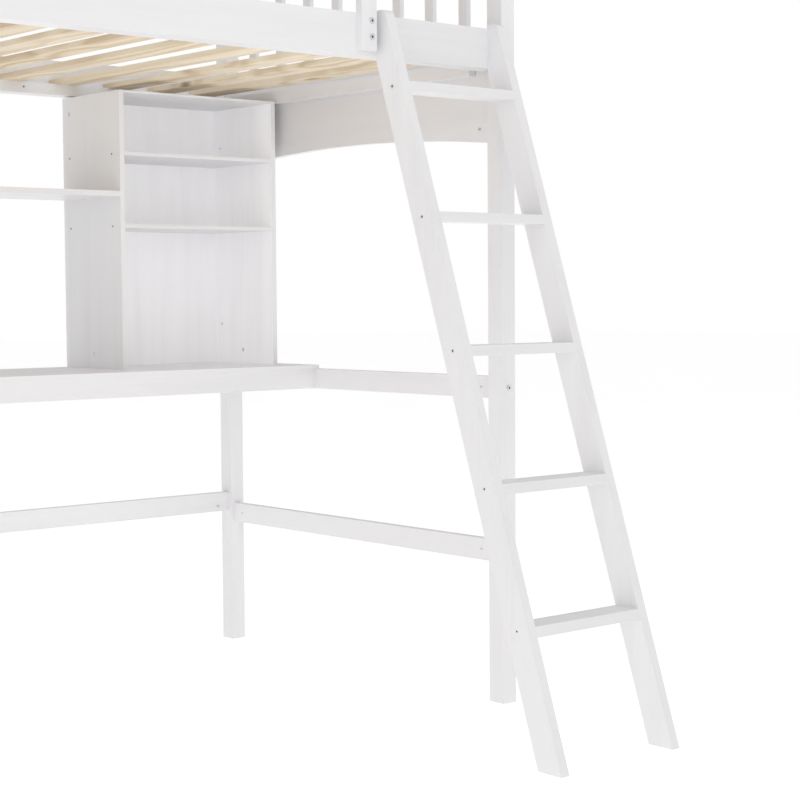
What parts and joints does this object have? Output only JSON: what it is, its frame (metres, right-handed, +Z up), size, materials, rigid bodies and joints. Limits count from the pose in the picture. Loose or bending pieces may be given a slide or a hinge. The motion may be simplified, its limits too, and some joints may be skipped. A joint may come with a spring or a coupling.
{
  "type": "loft bed with desk",
  "caption": "Twin loft bed on four square posts, with slats, guard boards and a slanted ladder, over a full-length desk with a bookcase and a long shelf.",
  "frame": {"origin": "on the floor, at the centre of the whole footprint with the ladder's feet", "axes": "+X along the bed to the ladder end, +Y from the ladder side to the desk side, +Z up"},
  "size_m": [2.0044, 1.5694, 1.8],
  "materials": {
    "white_paint": "satin white lacquer",
    "pine": "plain knotty pine",
    "hardware": "zinc plated"
  },
  "bodies": {
    "root": {"post_front_right": "white_paint", "post_back_right": "white_paint", "post_front_left": "white_paint", "post_back_left": "white_paint", "end_board_right": "white_paint", "end_board_left": "white_paint", "top_rail_right": "white_paint", "top_rail_left": "white_paint", "pickets_right": "white_paint", "pickets_left": "white_paint", "low_end_rail_right": "white_paint", "low_end_rail_left": "white_paint", "desk_end_rail_right": "white_paint", "desk_end_rail_left": "white_paint", "side_rail_front": "white_paint", "side_rail_back": "white_paint", "side_cleats": "white_paint", "end_cleats": "white_paint", "slat_01": "pine", "slat_02": "pine", "slat_03": "pine", "slat_04": "pine", "slat_05": "pine", "slat_06": "pine", "slat_07": "pine", "slat_08": "pine", "slat_09": "pine", "slat_10": "pine", "slat_11": "pine", "slat_12": "pine", "slat_13": "pine", "slat_14": "pine", "guard_post": "white_paint", "guard_front_low": "white_paint", "guard_front_top": "white_paint", "guard_back_low": "white_paint", "guard_back_top": "white_paint", "ladder_rail_left": "white_paint", "ladder_rail_right": "white_paint", "rung_1": "white_paint", "rung_2": "white_paint", "rung_3": "white_paint", "rung_4": "white_paint", "rung_5": "white_paint", "desktop": "white_paint", "desk_apron": "white_paint", "desk_back_rail": "white_paint", "low_back_rail": "white_paint", "case_side_left": "white_paint", "case_side_right": "white_paint", "case_back": "white_paint", "case_top_board": "white_paint", "case_shelf_low": "white_paint", "case_shelf_high": "white_paint", "long_shelf": "white_paint", "shelf_end_panel": "white_paint", "bed_bolts": "hardware", "barrel_nuts": "hardware", "ladder_screws": "hardware", "panel_screws": "hardware"}
  },
  "joints": []
}
